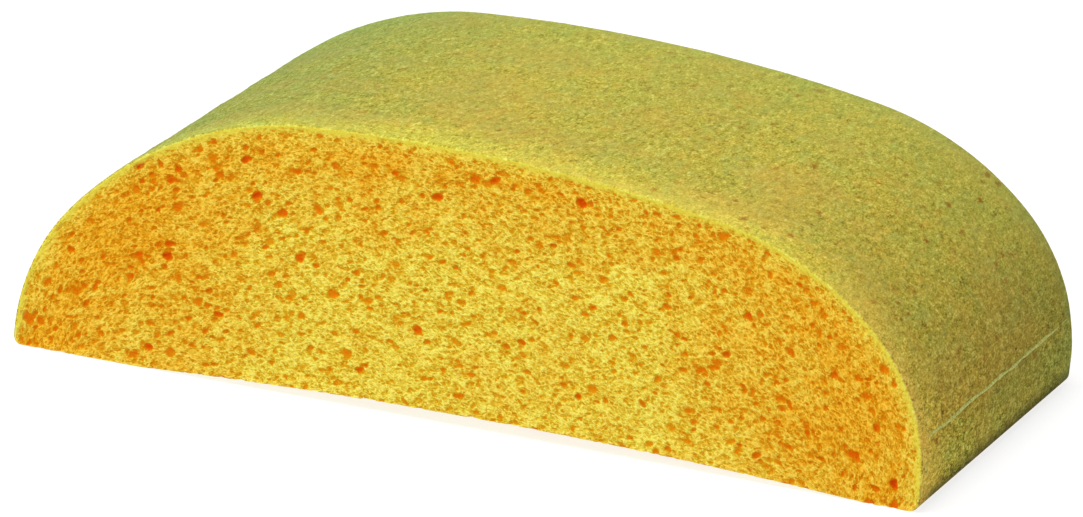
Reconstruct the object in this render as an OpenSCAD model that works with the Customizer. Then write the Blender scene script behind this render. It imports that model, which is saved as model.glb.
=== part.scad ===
// Half-round cellulose sponge for washing grout off tiles.
// Millimetres, +Z up. X runs across the arch, Y along the cut length, front face at -Y.
// The origin is the middle of the base, on the surface the sponge rests on.

/* [Block] */
// Width across the base
block_w = 190; // [176:1:204]
// Length between the two cut faces
block_d = 125; // [80:1:160]
// Height of the crown above the surface the sponge rests on
block_h = 56.4; // [54:0.2:60]

/* [Arched section] */
// Sideways place of the crown, which leans a little to the left
crown_x = -12.5; // [-14:0.5:-6]
// Radius of the crown
crown_r = 365; // [340:5:400]
// Radius of the haunch on each side of the crown
haunch_r = 66.5; // [64:0.5:70]
// Radius of the shoulders, where the back turns down into the sides
shoulder_r = 42; // [38:0.5:44]
// Height at which the shoulders start above the upright sides
shoulder_z = 4; // [3:0.5:6]
// Rounding of the lower long edges
edge_r = 2; // [1:0.25:3]
// Longest flat that stands for a stretch of arc
flat_l = 3; // [1:0.5:6]

/* [Rind] */
// Thickness of the fine-pored skin on the back and sides
rind_t = 1.2; // [0.8:0.1:2]
// Height of the mould's parting line above the surface
seam_z = 14; // [11:0.5:18]
// Radius of the raised bead left along the parting line
bead_r = 0.4; // [0.2:0.05:0.6]
// Distance of each end of the bead from the cut face
bead_gap = 1.5; // [0.5:0.5:6]

/* [Base] */
// Depth of the shallow hollow that the base has warped into
hollow_h = 2.3; // [0.5:0.1:3]
// Width of the hollow where it meets the surface
hollow_w = 152; // [110:1:152]
// Sideways place of the middle of the hollow
hollow_x = 8; // [-4:1:8]

/* [Hidden] */

LEFT = -1;
RIGHT = 1;
FOAM_COLOUR = "#E0B038";
RIND_COLOUR = "#BDB052";
SIDE_COLOUR = "#8A8442";
BEAD_COLOUR = "#C9CC7A";

half_w = block_w / 2;
// Cutting shapes run this far past what they cut
past = 1;
hollow_r = (pow(hollow_w / 2, 2) + pow(hollow_h, 2)) / (2 * hollow_h);

// The arch is five tangent arcs: a crown, two haunches and two shoulders
crown_c = [crown_x, block_h - crown_r];

function shoulder_c(side) = [side * (half_w - shoulder_r), shoulder_z];

// Where two circles meet, on the left of the line from the first centre to the second
function circles_meet(c1, r1, c2, r2) =
    let (line = c2 - c1,
         gap = norm(line),
         along = (gap * gap + r1 * r1 - r2 * r2) / (2 * gap),
         across = sqrt(r1 * r1 - along * along))
    c1 + (along * line + across * [-line[1], line[0]]) / gap;

// A haunch touches the crown from inside and its shoulder from outside
function haunch_c(side) = side == RIGHT
    ? circles_meet(crown_c, crown_r - haunch_r, shoulder_c(side), haunch_r - shoulder_r)
    : circles_meet(shoulder_c(side), haunch_r - shoulder_r, crown_c, crown_r - haunch_r);

// Direction from one point to another, in degrees
function heading(from, to) = atan2(to[1] - from[1], to[0] - from[0]);
function crown_end(side) = heading(crown_c, haunch_c(side));
function haunch_end(side) = heading(haunch_c(side), shoulder_c(side));

// Points along an arc, with no flat longer than flat_l
function arc(centre, r, from, to) =
    let (flats = ceil(abs(to - from) * PI / 180 * r / flat_l),
         step = (to - from) / flats)
    [for (i = [0:flats]) centre + r * [cos(from + i * step), sin(from + i * step)]];

// The side's outer surface at the height of the parting line
seam_x = half_w - shoulder_r + sqrt(pow(shoulder_r, 2) - pow(seam_z - shoulder_z, 2));

// The arched outline moved in by inset, on a straight base with square corners
module outline(inset) {
    side_x = half_w - inset;
    polygon(concat(
        [[-side_x, 0], [side_x, 0]],
        arc(shoulder_c(RIGHT), shoulder_r - inset, 0, haunch_end(RIGHT)),
        arc(haunch_c(RIGHT), haunch_r - inset, haunch_end(RIGHT), crown_end(RIGHT)),
        arc(crown_c, crown_r - inset, crown_end(RIGHT), crown_end(LEFT)),
        arc(haunch_c(LEFT), haunch_r - inset, crown_end(LEFT), haunch_end(LEFT)),
        arc(shoulder_c(LEFT), shoulder_r - inset, haunch_end(LEFT), 180)
    ));
}

// What the rounding takes off the two lower edges
module lower_edges() {
    for (side = [LEFT, RIGHT]) {
        difference() {
            translate([side * (half_w + (past - edge_r) / 2), (edge_r - past) / 2])
                square(edge_r + past, center = true);
            translate([side * (half_w - edge_r), edge_r]) circle(r = edge_r, $fn = 48);
        }
    }
}

// The skin between the outline and the same outline moved in
module skin_section() {
    difference() {
        outline(0);
        outline(rind_t);
        lower_edges();
    }
}

// Turns a section drawn in X and Z into a length of the loaf
module along_block() {
    rotate([90, 0, 0]) linear_extrude(height = block_d, center = true) children();
}

// The raised line where the two halves of the mould met
module parting_bead(side) {
    color(BEAD_COLOUR) translate([side * seam_x, 0, seam_z]) rotate([90, 0, 0])
        cylinder(h = block_d - 2 * bead_gap, r = bead_r, center = true, $fn = 32);
}

// The open-celled body, cut open at the front, the back and the base
module foam_core() {
    color(FOAM_COLOUR) along_block() difference() {
        outline(rind_t);
        lower_edges();
        translate([hollow_x, hollow_h - hollow_r]) circle(r = hollow_r, $fn = 360);
    }
}

// The skin above the parting line, in one sheet over the arch
module back_rind() {
    color(RIND_COLOUR) difference() {
        along_block() intersection() {
            skin_section();
            translate([-half_w, seam_z]) square([block_w, block_h]);
        }
        parting_bead(LEFT);
        parting_bead(RIGHT);
    }
}

// The skin of one side below the parting line
module side_rind(side) {
    color(SIDE_COLOUR) difference() {
        along_block() intersection() {
            skin_section();
            translate([side * half_w, seam_z / 2]) square([half_w, seam_z], center = true);
        }
        parting_bead(side);
    }
}

foam_core();
back_rind();
side_rind(LEFT);  // left_side_rind
side_rind(RIGHT);  // right_side_rind
parting_bead(LEFT);  // left_parting_bead
parting_bead(RIGHT);  // right_parting_bead
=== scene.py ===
"""Half-round grouting sponge: its looks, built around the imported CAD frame.

Metres, +Z up, in the CAD's own frame: X across the arch, Y along the cut length, front face at -Y.
Every piece is a closed mesh. The cut faces and the base are fields of burst bubbles, and the skin
is a thin shell over the arch.
"""

import math

import bpy
import numpy as np
from mathutils import Matrix, Vector
from mathutils.geometry import delaunay_2d_cdt


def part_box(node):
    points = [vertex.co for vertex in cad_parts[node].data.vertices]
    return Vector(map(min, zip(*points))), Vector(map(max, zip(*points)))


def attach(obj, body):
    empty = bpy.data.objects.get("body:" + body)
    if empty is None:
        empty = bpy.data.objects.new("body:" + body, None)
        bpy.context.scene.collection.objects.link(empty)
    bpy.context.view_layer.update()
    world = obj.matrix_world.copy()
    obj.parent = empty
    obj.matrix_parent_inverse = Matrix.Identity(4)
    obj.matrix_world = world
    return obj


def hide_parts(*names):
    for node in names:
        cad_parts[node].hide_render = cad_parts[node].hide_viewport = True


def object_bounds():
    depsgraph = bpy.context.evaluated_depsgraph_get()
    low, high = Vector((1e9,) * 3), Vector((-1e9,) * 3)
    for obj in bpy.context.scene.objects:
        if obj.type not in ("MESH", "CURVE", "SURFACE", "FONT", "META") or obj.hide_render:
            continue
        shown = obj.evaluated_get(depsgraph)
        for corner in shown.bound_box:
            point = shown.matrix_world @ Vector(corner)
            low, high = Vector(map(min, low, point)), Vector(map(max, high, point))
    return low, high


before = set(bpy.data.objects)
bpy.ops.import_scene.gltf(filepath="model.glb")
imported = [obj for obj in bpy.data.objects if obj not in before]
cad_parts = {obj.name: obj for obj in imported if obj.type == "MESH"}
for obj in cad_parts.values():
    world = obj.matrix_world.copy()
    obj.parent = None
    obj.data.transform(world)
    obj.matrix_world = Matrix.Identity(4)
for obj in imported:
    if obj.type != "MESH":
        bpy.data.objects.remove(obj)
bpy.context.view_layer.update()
MM = 0.001
LEFT, RIGHT = -1, 1

# ---------------------------------------------------------------- sizes, as in the CAD

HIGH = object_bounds()[1]
HALF_W = HIGH.x
HALF_D = HIGH.y
TOP = HIGH.z
CROWN_X = -12.5 * MM
CROWN_R = 365 * MM
HAUNCH_R = 66.5 * MM
SHOULDER_R = 42 * MM
SHOULDER_Z = 4 * MM
EDGE_R = 2 * MM
SEAM_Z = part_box("back_rind")[0].z
RIND_T = HALF_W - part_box("foam_core")[1].x
HOLLOW_H = 2.3 * MM
HOLLOW_W = 152 * MM
HOLLOW_X = 8 * MM
HOLLOW_R = ((HOLLOW_W / 2) ** 2 + HOLLOW_H ** 2) / (2 * HOLLOW_H)

# ---------------------------------------------------------------- detail that the CAD leaves out

# At the cut faces the skin shows as a lip this thick, and the foam fills the rest of its section
LIP_T = 0.55 * MM
# Rounding of the lip's outer edge
LIP_BEND = 0.35 * MM
# Each cut face is one side of a slab of foam this thick
SLAB_T = 4 * MM
# Mesh pitch of each surface, finest where the photograph is closest
FRONT_PITCH = 0.25 * MM
BACK_PITCH = 0.36 * MM
BASE_PITCH = 0.6 * MM
SKIN_PITCH = 0.56 * MM
HIDDEN_PITCH = 2.0 * MM
# A cut face lies a little below its lip, and swells slowly up and down
SUNK = 0.12 * MM
SWELL = 0.07 * MM
SWELL_SIZE = 9 * MM
# The skin has a fine felt on a slow roll
FELT = 0.034 * MM
FELT_SIZE = 0.7 * MM
ROLL = 0.06 * MM
ROLL_SIZE = 6 * MM

# ---------------------------------------------------------------- the arched section


def circles_meet(c1, r1, c2, r2):
    """Where two circles meet, on the left of the line from the first centre to the second."""
    line = c2 - c1
    gap = np.hypot(*line)
    along = (gap ** 2 + r1 ** 2 - r2 ** 2) / (2 * gap)
    across = math.sqrt(r1 ** 2 - along ** 2)
    return c1 + (along * line + across * np.array([-line[1], line[0]])) / gap


def heading(start, end):
    return math.atan2(end[1] - start[1], end[0] - start[0])


CROWN = np.array([CROWN_X, TOP - CROWN_R])
SHOULDER = {side: np.array([side * (HALF_W - SHOULDER_R), SHOULDER_Z]) for side in (LEFT, RIGHT)}
HAUNCH = {
    RIGHT: circles_meet(CROWN, CROWN_R - HAUNCH_R, SHOULDER[RIGHT], HAUNCH_R - SHOULDER_R),
    LEFT: circles_meet(SHOULDER[LEFT], HAUNCH_R - SHOULDER_R, CROWN, CROWN_R - HAUNCH_R),
}
CROWN_END = {side: heading(CROWN, HAUNCH[side]) for side in (LEFT, RIGHT)}
HAUNCH_END = {side: heading(HAUNCH[side], SHOULDER[side]) for side in (LEFT, RIGHT)}
SEAM_ANGLE = math.asin((SEAM_Z - SHOULDER_Z) / SHOULDER_R)


def arch_arcs():
    """(centre, radius, from, to) of the arcs above the two parting lines, from right to left."""
    return [
        (SHOULDER[RIGHT], SHOULDER_R, SEAM_ANGLE, HAUNCH_END[RIGHT]),
        (HAUNCH[RIGHT], HAUNCH_R, HAUNCH_END[RIGHT], CROWN_END[RIGHT]),
        (CROWN, CROWN_R, CROWN_END[RIGHT], CROWN_END[LEFT]),
        (HAUNCH[LEFT], HAUNCH_R, CROWN_END[LEFT], HAUNCH_END[LEFT]),
        (SHOULDER[LEFT], SHOULDER_R, HAUNCH_END[LEFT], math.pi - SEAM_ANGLE),
    ]


def along_arcs(arcs, pitch):
    """Points on the outer surface and outward normals, evenly spaced along a chain of arcs."""
    lengths = np.array([r * abs(b - a) for _, r, a, b in arcs])
    ends = np.concatenate([[0], np.cumsum(lengths)])
    stops = np.linspace(0, ends[-1], int(round(ends[-1] / pitch)) + 1)
    points, normals = [], []
    for s in stops:
        k = min(int(np.searchsorted(ends, s, side="right")) - 1, len(arcs) - 1)
        centre, r, a, b = arcs[k]
        angle = a + (b - a) * (s - ends[k]) / lengths[k]
        normal = np.array([math.cos(angle), math.sin(angle)])
        points.append(centre + r * normal)
        normals.append(normal)
    return np.array(points), np.array(normals)


def side_path(side, pitch):
    """Outer and inner points of the skin from the parting line down to the resting edge."""
    outer, inner, normals = [], [], []
    inner_r = SHOULDER_R - RIND_T
    for a in np.linspace(SEAM_ANGLE, 0, int(SHOULDER_R * SEAM_ANGLE / pitch) + 1):
        normal = np.array([math.cos(a), math.sin(a)])
        outer.append(SHOULDER[RIGHT] + SHOULDER_R * normal)
        inner.append(SHOULDER[RIGHT] + inner_r * normal)
        normals.append(normal)
    for z in np.linspace(SHOULDER_Z, EDGE_R, int((SHOULDER_Z - EDGE_R) / pitch) + 1)[1:]:
        outer.append(np.array([HALF_W, z]))
        inner.append(np.array([HALF_W - RIND_T, z]))
        normals.append(np.array([1.0, 0.0]))
    corner = np.array([HALF_W - EDGE_R, EDGE_R])
    last = math.radians(-60)
    for a in np.linspace(0, last, 6)[1:]:
        normal = np.array([math.cos(a), math.sin(a)])
        outer.append(corner + EDGE_R * normal)
        inner.append(np.array([HALF_W - RIND_T, EDGE_R + EDGE_R * math.sin(a)]))
        normals.append(normal)
    mirror = np.array([side, 1.0])
    return np.array(outer) * mirror, np.array(inner) * mirror, np.array(normals) * mirror


def base_height(x):
    """Height of the warped base above the surface the sponge rests on."""
    under = HOLLOW_R ** 2 - (x - HOLLOW_X) ** 2
    rise = HOLLOW_H - HOLLOW_R + np.sqrt(np.maximum(under, 0))
    return np.maximum(rise, 0)


def foam_outline(pitch, inset):
    """Closed loop of [x, z] round the foam, which lies inside the skin by inset."""
    arcs = [
        (SHOULDER[RIGHT], SHOULDER_R, 0, HAUNCH_END[RIGHT]),
        *arch_arcs()[1:4],
        (SHOULDER[LEFT], SHOULDER_R, HAUNCH_END[LEFT], math.pi),
    ]
    points, normals = along_arcs(arcs, pitch)
    arch = points - inset * normals
    side_x = HALF_W - inset
    first = math.acos((EDGE_R - inset) / EDGE_R)
    corner = [
        [HALF_W - EDGE_R + EDGE_R * math.cos(a), EDGE_R + EDGE_R * math.sin(a)]
        for a in np.linspace(-math.pi / 2, -first, 4)
    ]
    rise = [[side_x, z] for z in np.arange(corner[-1][1] + pitch, SHOULDER_Z - pitch / 2, pitch)]
    right = np.array(corner + rise)
    left = right[::-1] * [-1, 1]
    base_x = np.arange(left[-1][0] + pitch, right[0][0] - pitch / 2, pitch)
    base = np.column_stack([base_x, base_height(base_x)])
    return np.vstack([right, arch, left, base])


# ---------------------------------------------------------------- fields of pores


def smooth_noise(rng, shape, step, size):
    """Random field of unit spread, with features of about the given size."""
    white = rng.standard_normal(shape)
    fz = np.fft.fftfreq(shape[0], step)[:, None]
    fx = np.fft.rfftfreq(shape[1], step)[None, :]
    keep = np.exp(-((fz ** 2 + fx ** 2) * (size * 1.9) ** 2))
    field = np.fft.irfft2(np.fft.rfft2(white) * keep, shape)
    return field / field.std()


class Field:
    """A raster over a flat face that bubbles are cut into, read back at any point."""

    def __init__(self, rng, low, high, step, warp):
        self.low, self.step = np.array(low), step
        count = np.ceil((np.array(high) - self.low) / step).astype(int) + 1
        self.shape = (count[1], count[0])
        self.depth = np.zeros(self.shape)
        across = self.low[0] + np.arange(count[0]) * step
        up = self.low[1] + np.arange(count[1]) * step
        self.x, self.z = np.meshgrid(across, up)
        for size, share in ((1.1 * MM, 1.0), (0.45 * MM, 0.4)):
            self.x = self.x + share * warp * smooth_noise(rng, self.shape, step, size)
            self.z = self.z + share * warp * smooth_noise(rng, self.shape, step, size)

    def burst(self, x, z, long, short, turn, depth, power):
        """Cuts one bubble, an ellipse whose floor is depth down, into the field."""
        reach = max(long, short) * 1.35
        low = self.low[::-1]
        i0, j0 = np.maximum(((np.array([z, x]) - reach - low) / self.step).astype(int), 0)
        i1, j1 = ((np.array([z, x]) + reach - low) / self.step).astype(int) + 2
        if i1 <= 0 or j1 <= 0:
            return
        dx = self.x[i0:i1, j0:j1] - x
        dz = self.z[i0:i1, j0:j1] - z
        c, s = math.cos(turn), math.sin(turn)
        rr = ((dx * c + dz * s) / long) ** 2 + ((dz * c - dx * s) / short) ** 2
        bowl = depth * (1 - np.minimum(rr, 1) ** power)
        part = self.depth[i0:i1, j0:j1]
        np.maximum(part, bowl, out=part)

    def at(self, points, raster=None):
        """The depth, or another raster over the same face, at each point."""
        raster = self.depth if raster is None else raster
        g = (points - self.low) / self.step
        j = np.clip(g[:, 0].astype(int), 0, self.shape[1] - 2)
        i = np.clip(g[:, 1].astype(int), 0, self.shape[0] - 2)
        u = np.clip(g[:, 0] - j, 0, 1)
        v = np.clip(g[:, 1] - i, 0, 1)
        lower = raster[i, j] * (1 - u) + raster[i, j + 1] * u
        upper = raster[i + 1, j] * (1 - u) + raster[i + 1, j + 1] * u
        return lower * (1 - v) + upper * v


# The cells are drawn out along ellipses round these two points, which follow the arch
FOCUS = 77 * MM
FOCUS_Z = -2 * MM


def grain_turn(spots):
    """Direction the cells are drawn out in at each spot, as an angle from X."""
    out = np.zeros(spots.shape)
    for focus in (-FOCUS, FOCUS):
        arm = spots - [focus, FOCUS_Z]
        out += arm / np.hypot(arm[:, 0], arm[:, 1])[:, None]
    return np.arctan2(-out[:, 0], np.maximum(out[:, 1], 1e-6))


def no_turn(spots):
    return np.zeros(len(spots))


# Bubbles at least this long are rarer round the middle of the width than towards its ends
LARGE = 0.6 * MM
MIDDLE_X = 4 * MM
MIDDLE_SHARE = 0.45


def fill_with_bubbles(field, rng, kinds, area, turn_of):
    """Bursts every kind of bubble over the field. The tables below say what a kind holds."""
    span = np.array([field.shape[1], field.shape[0]]) * field.step
    for density, small, large, flat, full, share, power in kinds:
        count = int(density * area / MM ** 2)
        spots = field.low + rng.random((count, 2)) * span
        if small > LARGE:
            towards_end = np.clip((abs(spots[:, 0] - MIDDLE_X) - 25 * MM) / (45 * MM), 0, 1)
            kept = rng.random(count) < MIDDLE_SHARE + (1 - MIDDLE_SHARE) * towards_end
            spots = spots[kept]
            count = len(spots)
        # Most of a kind are near its smaller size
        longs = small + (large - small) * rng.random(count) ** 1.7
        shorts = longs * rng.uniform(flat, full, count)
        turns = turn_of(spots) + rng.normal(0, 0.28, count)
        depths = shorts * share * rng.uniform(0.7, 1.15, count)
        for k in range(count):
            x, z = spots[k]
            field.burst(x, z, longs[k], shorts[k], turns[k], depths[k], power)


# ---------------------------------------------------------------- meshes


SHARP_ANGLE = math.radians(75)


def new_object(name, points, faces, attributes=None):
    """A mesh object. attributes are numbers per point that the materials read."""
    mesh = bpy.data.meshes.new(name)
    mesh.from_pydata(points, [], faces)
    mesh.validate()
    for label, values in (attributes or {}).items():
        layer = mesh.attributes.new(label, "FLOAT", "POINT")
        layer.data.foreach_set("value", np.asarray(values, np.float32))
    mesh.shade_smooth()
    mesh.set_sharp_from_angle(angle=SHARP_ANGLE)
    piece = bpy.data.objects.new(name, mesh)
    bpy.context.scene.collection.objects.link(piece)
    return piece


def jittered_points(rng, low, high, pitch):
    """A staggered grid of points, each moved a little."""
    rows = np.arange(low[1], high[1], pitch * 0.87)
    points = []
    for k, v in enumerate(rows):
        u = np.arange(low[0] + (k % 2) * pitch / 2, high[0], pitch)
        points.append(np.column_stack([u, np.full(len(u), v)]))
    points = np.vstack(points)
    return points + rng.uniform(-0.22, 0.22, points.shape) * pitch


def rim_distance(points, loop):
    """Distance of each point from a loop of points."""
    best = np.full(len(points), np.inf)
    for start in range(0, len(points), 4000):
        part = points[start:start + 4000]
        gap = part[:, None, :] - loop[None, :, :]
        best[start:start + 4000] = np.sqrt((gap ** 2).sum(2).min(1))
    return best


def inside_loop(points, loop):
    """Even-odd test of many points against a closed loop."""
    x, z = points[:, 0], points[:, 1]
    inside = np.zeros(len(points), bool)
    for (x1, z1), (x2, z2) in zip(loop, np.roll(loop, -1, axis=0)):
        if z1 == z2:
            continue
        crosses = (z1 > z) != (z2 > z)
        inside ^= crosses & (x < (x2 - x1) * (z - z1) / (z2 - z1) + x1)
    return inside


def triangulate(loop, inner):
    """Faces over the loop's inside and the inner points. All points keep their order."""
    count = len(loop)
    points = [Vector(p) for p in np.vstack([loop, inner])]
    found = delaunay_2d_cdt(points, [], [list(range(count))], 1, 1e-9)
    verts, faces, origin = found[0], found[2], found[3]
    if len(verts) != len(points):
        raise RuntimeError("a face has points on top of each other")
    place = np.array([o[0] for o in origin])
    return [[int(place[v]) for v in f] for f in faces]


# Per row: bubbles per mm2, half-length from and to, its short axis as a share from and to, depth as
# a share of the short axis, and how steep the bubble's sides are
FACE_BUBBLES = [
    (0.014, 0.7 * MM, 1.45 * MM, 0.48, 0.78, 0.8, 1.8),
    (0.050, 0.7 * MM, 1.5 * MM, 0.48, 0.78, 0.40, 1.6),
    (0.34, 0.40 * MM, 0.95 * MM, 0.45, 0.78, 0.62, 1.5),
    (4.0, 0.28 * MM, 0.66 * MM, 0.3, 0.5, 0.8, 1.2),
]


def cut_field(rng, low, high, turn_of, kinds, step=0.1 * MM):
    """A field of burst bubbles, whose outlines wander a little."""
    wander = 0.12 * MM
    field = Field(rng, low, high, step, wander)
    area = (high[0] - low[0]) * (high[1] - low[1])
    fill_with_bubbles(field, rng, kinds, area, turn_of)
    return field


def foam_face(name, y_face, inward, seed, pitch, base_field):
    """A slab of foam under a cut face. inward is +1 if the slab runs towards +Y from the face."""
    rng = np.random.default_rng(seed)
    loop = foam_outline(pitch * 1.15, LIP_T)
    low, high = loop.min(0), loop.max(0)
    field = cut_field(rng, low, high, grain_turn, FACE_BUBBLES)
    swell = smooth_noise(rng, field.shape, field.step, SWELL_SIZE) * SWELL
    spots = jittered_points(rng, low, high, pitch)
    spots = spots[inside_loop(spots, loop)]
    distance = rim_distance(spots, loop)
    clear = distance > 0.55 * pitch
    spots, distance = spots[clear], distance[clear]
    faces = triangulate(loop, spots)
    flat = np.vstack([loop, spots])
    away = np.concatenate([np.zeros(len(loop)), distance])
    # The bubbles flatten out beside the skin, and the face meets its lip level
    arch_gap = np.minimum(rim_distance(flat, loop[loop[:, 1] > 3 * MM]), 1)
    calm = np.clip((arch_gap - 0.05 * MM) / (0.7 * MM), 0, 1)
    depth = field.at(flat) * calm
    below_lip = (field.at(flat, swell) + SUNK) * np.clip(away / (3 * MM), 0, 1)
    y = y_face + inward * (depth + below_lip)
    front = np.column_stack([flat[:, 0], y, flat[:, 1]])
    # The side wall, in rows along Y, whose bottom takes the base's pores
    n = len(loop)
    rows = int(round(SLAB_T / (0.5 * MM)))
    row_y = y_face + inward * np.linspace(0, SLAB_T, rows + 1)[1:]
    flat_base = abs(loop[:, 0]) < HALF_W - 2.1 * MM
    on_base = (loop[:, 1] <= base_height(loop[:, 0]) + 1e-9) & flat_base
    walls = []
    for y_row in row_y:
        ring = np.column_stack([loop[:, 0], np.full(n, y_row), loop[:, 1]])
        pores = base_field.at(ring[:, :2])
        ring[:, 2] += np.where(on_base, pores, 0)
        walls.append(ring)
    edge_share = 0.3
    front[:n, 2] += np.where(on_base, edge_share * base_field.at(front[:n, :2]), 0)
    points = np.vstack([front, *walls])
    starts = [0] + [len(front) + k * n for k in range(rows)]
    all_faces = faces if inward > 0 else [f[::-1] for f in faces]
    for a, b in zip(starts, starts[1:]):
        for k in range(n):
            m = (k + 1) % n
            quad = [a + k, b + k, b + m, a + m]
            all_faces.append(quad if inward > 0 else quad[::-1])
    cap = [starts[-1] + k for k in range(n)]
    all_faces.append(cap[::-1] if inward > 0 else cap)
    total = len(points)
    pit = np.zeros(total)
    pit[:len(front)] = depth / MM
    gap = np.zeros(total)
    gap[:len(front)] = arch_gap / MM
    turn = np.zeros(total)
    turn[:len(front)] = grain_turn(flat)
    return new_object(name, points, all_faces, {"pit": pit, "gap": gap, "turn": turn})


BASE_BUBBLES = [
    (0.02, 0.9 * MM, 1.9 * MM, 0.6, 0.9, 0.9, 2.0),
    (0.16, 0.6 * MM, 1.1 * MM, 0.5, 0.8, 0.9, 1.6),
    (0.8, 0.45 * MM, 0.8 * MM, 0.5, 0.8, 0.6, 1.2),
]


def foam_body(y_low, y_high, base_field, pitch):
    """The block between the two cut slabs: pores on its base, and plain where the skin hides it."""
    loop = foam_outline(HIDDEN_PITCH, RIND_T)
    section = loop[loop[:, 1] > base_height(loop[:, 0]) + 1e-9]
    half = HALF_W - EDGE_R
    columns = np.linspace(-half, half, int(2 * half / pitch) + 1)
    rows = np.linspace(y_low, y_high, int((y_high - y_low) / pitch) + 1)
    gx, gy = np.meshgrid(columns, rows)
    flat = np.column_stack([gx.ravel(), gy.ravel()])
    pores = base_field.at(flat)
    base = np.column_stack([flat, base_height(flat[:, 0]) + pores])
    nx, ny = len(columns), len(rows)
    faces = []
    for i in range(ny - 1):
        for j in range(nx - 1):
            a = i * nx + j
            faces.append([a, a + nx, a + nx + 1, a + 1])
    # Over the top, from the right end of the base to the left
    arch = section[section[:, 1] > 1e-6]
    first = len(base)
    m = len(arch)
    rings = [np.column_stack([arch[:, 0], np.full(m, y), arch[:, 1]]) for y in rows]
    for i in range(ny - 1):
        a, b = first + i * m, first + (i + 1) * m
        for k in range(m - 1):
            faces.append([a + k, b + k, b + k + 1, a + k + 1])
        right, left = i * nx + nx - 1, i * nx
        faces.append([right, right + nx, b, a])
        faces.append([left, a + m - 1, b + m - 1, left + nx])
    for i in (0, ny - 1):
        ends = list(range(i * nx, i * nx + nx)) + [first + i * m + k for k in range(m)]
        faces.append(ends if i == 0 else ends[::-1])
    points = np.vstack([base, *rings])
    pit = np.zeros(len(points))
    pit[:len(base)] = pores / MM
    far_from_rim = np.full(len(points), 30.0)
    return new_object("foam_body", points, faces, {"pit": pit, "gap": far_from_rim})


def rind_profile(pitch):
    """The skin cut along Y: a loop of (y, share of its thickness), and how many are outside."""
    bend = LIP_BEND
    turn = [math.radians(a) for a in (0, 30, 60, 90)]
    front = [
        (-HALF_D + bend * (1 - math.sin(a)), bend * (1 - math.cos(a)) / RIND_T) for a in turn
    ]
    lip = LIP_T / RIND_T
    slab_end = -HALF_D + SLAB_T
    ring = [(-HALF_D, lip * 0.8), (-HALF_D, lip), (slab_end, lip), (slab_end, 1.0)]
    count = int((2 * HALF_D - 2 * bend) / pitch) + 1
    outer_y = np.linspace(HALF_D - bend, -HALF_D + bend, count)
    inner_y = np.linspace(-HALF_D + SLAB_T, HALF_D - SLAB_T, 5)[1:-1]
    one_end = [*front[1:], *ring]
    loop = [(y, 0.0) for y in outer_y]
    loop += one_end
    loop += [(y, 1.0) for y in inner_y]
    loop += [(-y, s) for y, s in one_end[::-1]]
    return np.array(loop), count


SKIN_BUBBLES = [(0.012, 0.35 * MM, 0.9 * MM, 0.5, 0.9, 0.6, 1.5)]


def rind_shell(name, outer, inner, normals, pitch, seed):
    """A closed shell between two section paths, with a felt-like outside and rounded cut ends."""
    rng = np.random.default_rng(seed)
    loop, count = rind_profile(pitch)
    n, m = len(outer), len(loop)
    step = np.concatenate([[0], np.cumsum(np.hypot(*np.diff(outer, axis=0).T))])
    felt = smooth_noise(rng, (n, count), pitch, FELT_SIZE)
    roll = smooth_noise(rng, (n, count), pitch, ROLL_SIZE)
    field = Field(rng, [step[0], -HALF_D], [step[-1], HALF_D], 0.25 * MM, 0.1 * MM)
    fill_with_bubbles(field, rng, SKIN_BUBBLES, step[-1] * 2 * HALF_D, no_turn)
    points = np.zeros((n, m, 3))
    share = loop[:, 1][None, :, None]
    flat = outer[:, None, :] * (1 - share) + inner[:, None, :] * share
    points[:, :, 0], points[:, :, 2] = flat[:, :, 0], flat[:, :, 1]
    points[:, :, 1] = loop[:, 0]
    spots = np.column_stack([np.repeat(step, count), np.tile(loop[:count, 0], n)])
    pits = field.at(spots).reshape(n, count)
    # The relief fades at the cut ends, at the parting line and towards the resting edge
    to_end = np.minimum(HALF_D - abs(loop[:count, 0]), 4 * MM) / (4 * MM)
    lift = (felt * FELT + roll * ROLL) * (0.35 + 0.65 * to_end) - pits * to_end
    edge = np.minimum(np.arange(n), np.arange(n)[::-1])[:, None]
    settled = np.clip((outer[:, 1] - EDGE_R) / (6 * MM), 0, 1)[:, None]
    lift = lift * np.clip(edge / 2, 0, 1) * settled
    points[:, :count, 0] += lift * normals[:, None, 0]
    points[:, :count, 2] += lift * normals[:, None, 1]
    rough = rng.uniform(0, 0.06 * MM, (n, m))
    cut = (abs(loop[:, 0]) >= HALF_D - 1e-9) & (loop[:, 1] < 0.3)
    points[:, :, 1] -= np.where(cut, np.sign(loop[:, 0]) * rough, 0)
    faces = []
    for i in range(n - 1):
        for j in range(m):
            k = (j + 1) % m
            faces.append([i * m + j, i * m + k, (i + 1) * m + k, (i + 1) * m + j])
    faces.append(list(range(m))[::-1])
    faces.append([(n - 1) * m + j for j in range(m)])
    pit = np.zeros((n, m))
    pit[:, :count] = pits / MM
    skin = np.repeat(loop[None, :, 1], n, axis=0)
    attributes = {"pit": pit.ravel(), "skin": skin.ravel()}
    return new_object(name, points.reshape(-1, 3), faces, attributes)


def flip_if_inside_out(piece):
    """Turns the faces outward if the mesh's volume comes out negative."""
    mesh = piece.data
    mesh.calc_loop_triangles()
    tris = np.zeros(len(mesh.loop_triangles) * 3, np.int32)
    mesh.loop_triangles.foreach_get("vertices", tris)
    co = np.zeros(len(mesh.vertices) * 3)
    mesh.vertices.foreach_get("co", co)
    corner = co.reshape(-1, 3)[tris.reshape(-1, 3)]
    volume = np.einsum("ij,ij->i", corner[:, 0], np.cross(corner[:, 1], corner[:, 2])).sum() / 6
    if volume < 0:
        mesh.flip_normals()


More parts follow.
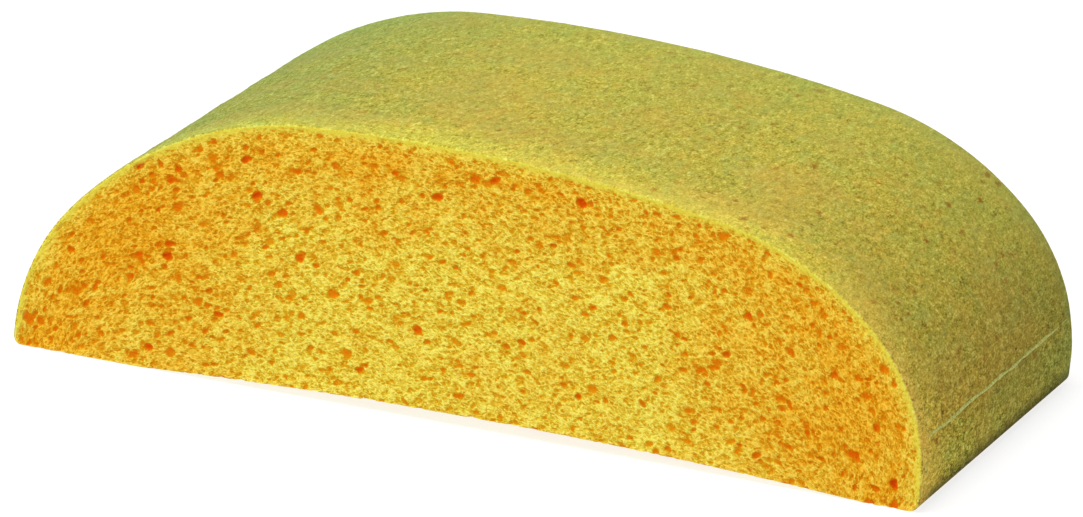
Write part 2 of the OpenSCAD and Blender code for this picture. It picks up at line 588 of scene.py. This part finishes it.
def parting_ridge(name, side, seed):
    """The pale raised line along the parting, a little wavy and thinner towards its ends."""
    rng = np.random.default_rng(seed)
    count = 260
    half = HALF_D - 1.5 * MM
    y = np.linspace(-half, half, count)
    step = 2 * half / count
    wave = smooth_noise(rng, (1, count), step, 11 * MM)[0] * 0.12 * MM
    girth = smooth_noise(rng, (1, count), step, 3 * MM)[0] * 0.05 * MM
    taper = np.clip((half - abs(y)) / (22 * MM), 0, 1) ** 0.7
    width = (0.36 * MM + girth) * (0.36 + 0.64 * taper)
    # The ridge is flatter than it is wide, and sinks into the skin towards its ends
    flatness = 0.8
    sunk = 0.1 * MM + 0.12 * MM * (1 - taper)
    normal = np.array([side * math.cos(SEAM_ANGLE), math.sin(SEAM_ANGLE)])
    seam = SHOULDER[side] + SHOULDER_R * normal
    sides = 12
    points, faces = [], []
    for i in range(count):
        for k in range(sides):
            a = 2 * math.pi * k / sides
            x = seam[0] + side * (width[i] * flatness * math.cos(a) - sunk[i])
            points.append([x, y[i], seam[1] + wave[i] + width[i] * math.sin(a)])
    for i in range(count - 1):
        for k in range(sides):
            a, b = i * sides, (i + 1) * sides
            m = (k + 1) % sides
            faces.append([a + k, a + m, b + m, b + k])
    faces.append(list(range(sides))[::-1])
    faces.append([(count - 1) * sides + k for k in range(sides)])
    return new_object(name, points, faces)


# ---------------------------------------------------------------- materials


def srgb(r, g, b):
    """A screen colour from 0 to 255 as the linear one that a shader takes."""
    values = [c / 255 for c in (r, g, b)]
    return [c / 12.92 if c <= 0.04045 else ((c + 0.055) / 1.055) ** 2.4 for c in values] + [1]


class Shader:
    """Short names for the nodes of one material."""

    def __init__(self, name, **finish):
        self.material = bpy.data.materials.new(name)
        self.material.use_nodes = True
        self.tree = self.material.node_tree
        self.surface = self.tree.nodes["Principled BSDF"]
        for socket, value in finish.items():
            self.surface.inputs[socket.replace("_", " ")].default_value = value

    def node(self, kind, inputs, **settings):
        made = self.tree.nodes.new(kind)
        for key, value in settings.items():
            setattr(made, key, value)
        for key, value in inputs.items():
            if isinstance(value, bpy.types.NodeSocket):
                self.tree.links.new(value, made.inputs[key])
            elif value is not None:
                made.inputs[key].default_value = value
        return made

    def place(self):
        return self.node("ShaderNodeTexCoord", {}).outputs["Object"]

    def split(self, vector):
        return self.node("ShaderNodeSeparateXYZ", {0: vector}).outputs

    def value(self, name):
        return self.node("ShaderNodeAttribute", {}, attribute_name=name).outputs["Fac"]

    def math(self, operation, a, b=None, c=None, clamp=False):
        made = self.node("ShaderNodeMath", {0: a, 1: b, 2: c}, operation=operation, use_clamp=clamp)
        return made.outputs[0]

    def join(self, x, y, z):
        return self.node("ShaderNodeCombineXYZ", {0: x, 1: y, 2: z}).outputs[0]

    def vector(self, operation, a, b=None, scale=None):
        made = self.node("ShaderNodeVectorMath", {0: a, 1: b, "Scale": scale}, operation=operation)
        return made.outputs[0]

    def span(self, value, low, high, to_low=0.0, to_high=1.0, smooth=True):
        """Maps low..high onto to_low..to_high, and stops at its ends."""
        kind = "SMOOTHSTEP" if smooth else "LINEAR"
        made = self.node(
            "ShaderNodeMapRange",
            {0: value, 1: low, 2: high, 3: to_low, 4: to_high},
            interpolation_type=kind,
        )
        return made.outputs[0]

    def product(self, *factors):
        """Several numbers multiplied together."""
        result = factors[0]
        for factor in factors[1:]:
            result = self.math("MULTIPLY", result, factor)
        return result

    def stretch(self, vector, scale):
        return self.node("ShaderNodeMapping", {"Vector": vector, "Scale": scale}).outputs[0]

    def noise(self, vector, size, detail=2.0, rough=0.5):
        made = self.node(
            "ShaderNodeTexNoise",
            {"Vector": vector, "Scale": 1 / size, "Detail": detail, "Roughness": rough},
        )
        return made.outputs["Fac"]

    def cells(self, vector, size, feature="F1", random=1.0):
        made = self.node(
            "ShaderNodeTexVoronoi",
            {"Vector": vector, "Scale": 1 / size, "Randomness": random},
            feature=feature,
        )
        return made.outputs["Distance"], made.outputs.get("Color")

    def blend(self, share, a, b, kind="MIX"):
        made = self.node("ShaderNodeMix", {0: share, 6: a, 7: b}, data_type="RGBA", blend_type=kind)
        return made.outputs[2]

    def ramp(self, value, stops):
        made = self.node("ShaderNodeValToRGB", {0: value})
        band = made.color_ramp.elements
        while len(band) < len(stops):
            band.new(0.5)
        for slot, (place, colour) in zip(band, stops):
            slot.position = place
            slot.color = colour
        return made.outputs[0]

    def bump(self, height, distance, strength):
        inputs = {"Height": height, "Distance": distance, "Strength": strength}
        made = self.node("ShaderNodeBump", inputs)
        self.tree.links.new(made.outputs[0], self.surface.inputs["Normal"])

    def colour(self, socket):
        self.tree.links.new(socket, self.surface.inputs["Base Color"])


def foam_material():
    """Open cellulose cells: pale yellow walls, painted orange shade in the pits, warmer towards the
    arch.
    """
    s = Shader("open_cell_foam", Roughness=0.9, Specular_IOR_Level=0.03)
    place = s.place()
    x, y, z = s.split(place)
    pit, gap = s.value("pit"), s.value("gap")
    # Cells are drawn out along the grain, whose direction changes in steps with ragged borders
    turn_step = 0.3
    ragged = s.span(s.noise(place, 4 * MM), 0.3, 0.7, -turn_step, turn_step, smooth=False)
    turn = s.math("SNAP", s.math("ADD", s.value("turn"), ragged), turn_step)
    cos, sin = s.math("COSINE", turn), s.math("SINE", turn)
    along = s.math("ADD", s.math("MULTIPLY", x, cos), s.math("MULTIPLY", z, sin))
    across = s.math("SUBTRACT", s.math("MULTIPLY", z, cos), s.math("MULTIPLY", x, sin))
    grain = s.join(s.math("MULTIPLY", along, 0.55), y, across)
    # The smallest cells, with walls that wander
    wobble = s.node("ShaderNodeTexNoise", {"Vector": grain, "Scale": 1 / (0.7 * MM)})
    shift = s.vector("SUBTRACT", wobble.outputs["Color"], (0.5, 0.5, 0.5))
    bent = s.vector("ADD", grain, s.vector("SCALE", shift, scale=0.6 * MM))
    cell_size = 0.62 * MM
    wall, _ = s.cells(bent, cell_size, "DISTANCE_TO_EDGE")
    _, tone = s.cells(bent, cell_size)
    tone = s.span(s.split(tone)[0], 0.0, 1.0, 0.25, 1.0, smooth=False)
    cell = s.math("MULTIPLY", s.span(wall, 0.0, 0.22), tone)
    fine = s.noise(grain, 0.3 * MM, 2.0, 0.6)
    # How deep this spot is: the pit's depth in mm, with small cells and fine grain on it
    level = s.math("ADD", pit, s.span(cell, 0.0, 1.0, 0.0, 0.22, smooth=False))
    level = s.math("ADD", level, s.span(fine, 0.30, 0.70, -0.10, 0.10, smooth=False))
    # 0 in the pale middle of the lower part, 1 near the arch and the two ends, less beside the skin
    widening = s.span(z, 0.0, 22 * MM, 12 * MM, 0.0)
    sideways = s.math("SUBTRACT", s.math("ABSOLUTE", x), widening)
    middle = s.span(sideways, 22 * MM, 85 * MM, 1.0, 0.0)
    under = s.span(z, 22 * MM, 64 * MM, 1.0, 0.0)
    outer = s.math("SUBTRACT", 1.0, s.math("MULTIPLY", middle, under))
    patches = s.span(s.noise(place, 22 * MM), 0.35, 0.65, -0.13, 0.13)
    streaks = s.span(s.noise(grain, 3 * MM), 0.35, 0.65, -0.22, 0.22)
    warm = s.math("ADD", s.math("ADD", outer, patches), streaks, clamp=True)
    warm = s.math("MULTIPLY", warm, s.span(gap, 0.6, 5.0, 0.45, 1.0))
    # Both ramps paint shade: the deeper a spot, the darker and more orange it gets, for the shade
    # and bounce light inside the pits
    pale = s.ramp(level, [
        (0.0, srgb(245, 234, 108)), (0.14, srgb(229, 202, 60)), (0.30, srgb(208, 156, 16)),
        (0.44, srgb(215, 141, 10)), (0.66, srgb(227, 120, 10)), (1.0, srgb(220, 96, 8)),
    ])
    deep = s.ramp(level, [
        (0.0, srgb(246, 196, 62)), (0.14, srgb(227, 163, 26)), (0.30, srgb(207, 127, 5)),
        (0.44, srgb(213, 115, 3)), (0.66, srgb(217, 96, 4)), (1.0, srgb(207, 76, 3)),
    ])
    cut = s.blend(warm, pale, deep)
    specks = s.span(s.noise(grain, 0.7 * MM), 0.60, 0.72, 0.0, 0.36)
    cut = s.blend(specks, cut, srgb(190, 114, 2))
    # Painted shade: the wide pits are tinted redder than the gaps between the small cells, for the
    # bounce light deep inside them
    wide_pit_painted_shade = s.span(pit, 0.12, 0.34, 0.0, 1.0)
    cut = s.blend(wide_pit_painted_shade, cut, (1.11, 0.93, 1.0, 1.0), "MULTIPLY")
    # Yellow beside the skin, with a frayed border
    frayed = s.math("ADD", gap, s.span(fine, 0.3, 0.7, -0.35, 0.35, smooth=False))
    frayed = s.math("ADD", frayed, s.span(cell, 0.0, 1.0, 0.0, 0.7))
    cut = s.blend(s.span(frayed, 0.1, 1.8, 0.85, 0.0), cut, srgb(226, 212, 72))
    s.colour(cut)
    height = s.math("SUBTRACT", s.math("MULTIPLY", fine, 0.35), cell)
    s.bump(height, 0.16 * MM, 0.7)
    return s.material


def rind_material():
    """Fine felt-like skin: olive yellow, mottled green and tan, with a few rust specks."""
    s = Shader("rind", Roughness=0.95, Specular_IOR_Level=0.06)
    place = s.place()
    x, y, z = s.split(place)
    skin, pit = s.value("skin"), s.value("pit")
    front, back = -HALF_D, HALF_D
    # Grain drawn out along Y, and stronger towards the resting edge
    combed = s.stretch(place, [1.0, 0.36, 1.0])
    fine = s.noise(combed, 0.42 * MM, 3.0, 0.7)
    felt = s.noise(combed, 1.1 * MM, 2.0, 0.6)
    grain = s.math("ADD", s.math("MULTIPLY", fine, 0.62), s.math("MULTIPLY", felt, 0.38))
    coarse = s.span(z, 4 * MM, 42 * MM, 1.85, 0.92)
    strong = s.math("MULTIPLY_ADD", s.math("SUBTRACT", grain, 0.5), coarse, 0.5)
    base = s.ramp(strong, [
        (0.32, srgb(92, 86, 24)), (0.46, srgb(164, 154, 53)), (0.54, srgb(186, 176, 68)),
        (0.68, srgb(228, 221, 122)),
    ])
    # Mottling: tan, leaf green, broad tan clouds, and a slight shift between warm and cool
    tan = s.span(s.noise(combed, 1.6 * MM, 3.0, 0.65), 0.50, 0.68, 0.0, 0.26)
    base = s.blend(tan, base, srgb(202, 152, 64))
    leaf = s.span(s.noise(combed, 2.6 * MM, 3.0, 0.65), 0.50, 0.68, 0.0, 0.28)
    base = s.blend(leaf, base, srgb(150, 166, 84))
    clouds = s.span(s.noise(place, 28 * MM, 2.0, 0.55), 0.42, 0.62, 0.0, 0.30)
    base = s.blend(clouds, base, srgb(186, 156, 74))
    mottle = s.ramp(s.noise(combed, 6 * MM, 3.0, 0.6), [
        (0.36, (0.94, 1.0, 1.05, 1.0)), (0.64, (1.06, 1.0, 0.95, 1.0)),
    ])
    base = s.blend(1.0, base, mottle, "MULTIPLY")
    # Greener towards the back, a green tint that also paints the darker green shade the felt shows
    # at grazing angles, and painted shade on the left flank
    back_green_and_grazing_shade = s.span(y, -10 * MM, back, 0.0, 0.22)
    base = s.blend(back_green_and_grazing_shade, base, srgb(148, 170, 84))
    left_flank_painted_shade = s.span(x, -72 * MM, -8 * MM, 1.0, 0.0)
    left_flank_painted_shade = s.math("MULTIPLY", left_flank_painted_shade, s.span(z, 22 * MM, 38 * MM, 0.3, 1.0))
    base = s.blend(left_flank_painted_shade, base, (0.64, 0.81, 1.12, 1.0), "MULTIPLY")
    # Painted shade: darker and browner low down, most of all at the back. Paler low down at the
    # front right
    low = s.span(z, 8 * MM, 38 * MM, 0.8, 0.0)
    base = s.blend(low, base, (0.84, 0.78, 0.58, 1.0), "MULTIPLY")
    painted_shade_low_back = s.math("MULTIPLY", low, s.span(y, 0.0, back, 0.0, 1.0))
    base = s.blend(painted_shade_low_back, base, (0.86, 0.84, 0.84, 1.0), "MULTIPLY")
    right_more = s.span(x, -40 * MM, 40 * MM, 0.45, 1.0)
    paler_front_low = s.product(low, s.span(y, front, 12 * MM, 1.0, 0.0), right_more)
    base = s.blend(paler_front_low, base, (1.40, 1.32, 1.28, 1.0), "MULTIPLY")
    tanned = s.span(x, 25 * MM, 60 * MM, 0.0, 1.0)
    base = s.blend(tanned, base, (1.075, 1.03, 1.0, 1.0), "MULTIPLY")
    # Painted shade under the parting ridge: a greener band just below it, where the ridge shades
    # the skin
    painted_shade_under_seam = s.span(z, SEAM_Z - 3 * MM, SEAM_Z, 1.0, 0.0)
    base = s.blend(painted_shade_under_seam, base, (0.96, 1.06, 1.10, 1.0), "MULTIPLY")
    # Painted shade along the resting edge: a dark band, darkest at the bottom
    painted_shade_resting_edge = s.span(z, 0.4 * MM, 5.2 * MM, 0.88, 0.0)
    base = s.blend(painted_shade_resting_edge, base, srgb(48, 48, 16))
    # Rust specks and dark spots: their spacing, the share of places left bare, reach and colour
    spot_place = s.stretch(place, [1.0, 0.42, 1.0])
    right = s.span(x, -20 * MM, 80 * MM, 0.4, 1.0)
    rust = (2.3 * MM, 0.70, 0.48, srgb(148, 92, 22))
    dark = (3.6 * MM, 0.84, 0.28, srgb(92, 60, 16))
    for spacing, bare, reach, colour in (rust, dark):
        distance, random = s.cells(spot_place, spacing)
        pick, strength, shrink = s.split(random)
        ragged = s.span(fine, 0.3, 0.7, -0.07, 0.07, smooth=False)
        distance = s.math("ADD", distance, ragged)
        distance = s.math("MULTIPLY_ADD", shrink, 0.16, distance)
        dot = s.span(distance, reach / 4, reach, 1.0, 0.0)
        strength = s.span(strength, 0.0, 1.0, 0.25, 1.0, smooth=False)
        dot = s.product(dot, s.math("GREATER_THAN", pick, bare), strength, right)
        base = s.blend(dot, base, colour)
    base = s.blend(s.span(pit, 0.05, 0.35, 0.0, 0.7), base, srgb(120, 84, 30))
    # Behind the front rim: tan on the steep sides, then a painted glow of light that is greener on
    # top
    to_rim = s.span(y, front + 0.8 * MM, front + 12 * MM, 1.0, 0.0)
    steep = s.span(z, 20 * MM, 48 * MM, 1.0, 0.4)
    to_rim = s.product(to_rim, steep, right_more, s.span(fine, 0.35, 0.65, 0.18, 0.64))
    base = s.blend(to_rim, base, srgb(228, 186, 88))
    # Painted light: the skin is brightened behind the front rim, and made greener on top
    painted_glow_behind_rim = s.span(y, front + 4 * MM, front + 26 * MM, 1.0, 0.0)
    base = s.blend(painted_glow_behind_rim, base, (1.21, 1.17, 1.10, 1.0), "MULTIPLY")
    painted_glow_greener_top = s.span(y, front + 3 * MM, front + 12 * MM, 1.0, 0.0)
    painted_glow_greener_top = s.math("MULTIPLY", painted_glow_greener_top, s.span(z, 30 * MM, 50 * MM, 0.0, 1.0))
    base = s.blend(painted_glow_greener_top, base, (0.98, 1.08, 0.96, 1.0), "MULTIPLY")
    # Greener at the back rim: a green tint that also paints grazing-angle shade
    back_rim_green_and_grazing_shade = s.span(y, back - 11 * MM, back - 0.5 * MM, 0.0, 0.22)
    base = s.blend(back_rim_green_and_grazing_shade, base, srgb(142, 172, 92))
    # The torn lip, where the skin is cut through
    torn = s.math("ADD", skin, s.span(fine, 0.3, 0.7, -0.14, 0.14, smooth=False))
    lip = s.ramp(grain, [
        (0.40, srgb(218, 186, 46)), (0.52, srgb(220, 212, 74)), (0.64, srgb(232, 230, 112)),
    ])
    base = s.blend(s.span(torn, 0.06, 0.28), base, lip)
    s.colour(base)
    s.bump(grain, 0.22 * MM, 0.8)
    return s.material


def parting_material():
    """The pale line of dense skin where the mould halves met."""
    s = Shader("parting_line", Roughness=0.8, Specular_IOR_Level=0.2)
    fine = s.noise(s.place(), 0.7 * MM)
    s.colour(s.ramp(fine, [(0.35, srgb(168, 172, 80)), (0.65, srgb(216, 220, 124))]))
    s.bump(fine, 0.1 * MM, 0.5)
    return s.material


def floor_material():
    """Nearly white, and lit a little from within so that it stays pale round the part."""
    s = Shader("pale_floor", Roughness=0.9, Specular_IOR_Level=0.1, Emission_Strength=0.78)
    s.surface.inputs["Emission Color"].default_value = (1, 1, 1, 1)
    uneven = s.noise(s.place(), 0.4)
    s.colour(s.ramp(uneven, [(0.3, srgb(142, 142, 142)), (0.7, srgb(147, 147, 147))]))
    return s.material


# ---------------------------------------------------------------- the pieces


def settle(piece, material, node):
    """What every piece needs: faces outward, its material, and its place in the frame."""
    flip_if_inside_out(piece)
    piece.data.materials.append(material)
    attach(piece, "root")
    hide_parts(node)


def build_foam(material):
    rng = np.random.default_rng(41)
    low, high = [-HALF_W, -HALF_D], [HALF_W, HALF_D]
    base_field = cut_field(rng, low, high, no_turn, BASE_BUBBLES, 0.2 * MM)
    front = foam_face("foam_front_face", -HALF_D, 1, 11, FRONT_PITCH, base_field)
    back = foam_face("foam_back_face", HALF_D, -1, 23, BACK_PITCH, base_field)
    body = foam_body(-HALF_D + SLAB_T, HALF_D - SLAB_T, base_field, BASE_PITCH)
    for piece in (front, back, body):
        settle(piece, material, "foam_core")


def build_skin(material):
    points, normals = along_arcs(arch_arcs(), SKIN_PITCH)
    inner = points - RIND_T * normals
    back = rind_shell("back_skin", points, inner, normals, SKIN_PITCH, 31)
    settle(back, material, "back_rind")
    for side, label, seed in ((LEFT, "left", 37), (RIGHT, "right", 43)):
        outer, inner, normals = side_path(side, SKIN_PITCH)
        piece = rind_shell(label + "_side_skin", outer, inner, normals, SKIN_PITCH, seed)
        settle(piece, material, label + "_side_rind")


def build_partings(material):
    for side, label, seed in ((LEFT, "left", 53), (RIGHT, "right", 59)):
        piece = parting_ridge(label + "_parting_ridge", side, seed)
        settle(piece, material, label + "_parting_bead")


# ---------------------------------------------------------------- studio and camera


def build_studio():
    """A pale floor, a large soft key from the front left above, and a weak fill from behind."""
    just_under = -0.1 * MM
    bpy.ops.mesh.primitive_circle_add(
        vertices=96, radius=40, fill_type="NGON", location=(0, 0, just_under)
    )
    floor = bpy.context.object
    floor.name = "floor"
    floor.data.materials.append(floor_material())
    world = bpy.data.worlds.new("studio")
    bpy.context.scene.world = world
    world.use_nodes = True
    sky = world.node_tree.nodes["Background"]
    sky.inputs["Color"].default_value = (1, 1, 1, 1)
    sky.inputs["Strength"].default_value = 0.25
    aim = Vector((0, 0, 0.02))
    # Name, place, width and power in watts
    lamps = [("key", (-0.72, -0.84, 2.11), 2.4, 71), ("back_fill", (-0.5, 2.3, 0.7), 1.6, 13)]
    for name, spot, size, power in lamps:
        light = bpy.data.lights.new(name, "AREA")
        light.shape = "DISK"
        light.size = size
        light.energy = power
        lamp = bpy.data.objects.new(name, light)
        bpy.context.scene.collection.objects.link(lamp)
        lamp.location = spot
        lamp.rotation_euler = (aim - lamp.location).to_track_quat("-Z", "Y").to_euler()


def build_camera():
    """The photograph's view: from the front and a little to the right, above, and tilted."""
    azimuth, elevation, roll = math.radians(14.42), math.radians(13.71), math.radians(6.95)
    distance = 2.7503
    focal_length_mm = 448.2
    target = Vector((-0.00386, 0, 0.02148))
    back = Vector((
        math.sin(azimuth) * math.cos(elevation),
        -math.cos(azimuth) * math.cos(elevation),
        math.sin(elevation),
    ))
    level = Vector((0, 0, 1)).cross(back).normalized()
    upright = back.cross(level)
    right = math.cos(roll) * level + math.sin(roll) * upright
    up = math.cos(roll) * upright - math.sin(roll) * level
    lens = bpy.data.cameras.new("camera")
    lens.sensor_width = 36
    lens.lens = focal_length_mm
    lens.clip_start, lens.clip_end = 0.1, 100
    camera = bpy.data.objects.new("camera", lens)
    bpy.context.scene.collection.objects.link(camera)
    turn = Matrix((right, up, back)).transposed().to_4x4()
    camera.matrix_world = Matrix.Translation(target + back * distance) @ turn
    bpy.context.scene.camera = camera


build_camera()
build_studio()
build_foam(foam_material())
build_skin(rind_material())
build_partings(parting_material())
bpy.context.scene.view_settings.view_transform = "Standard"
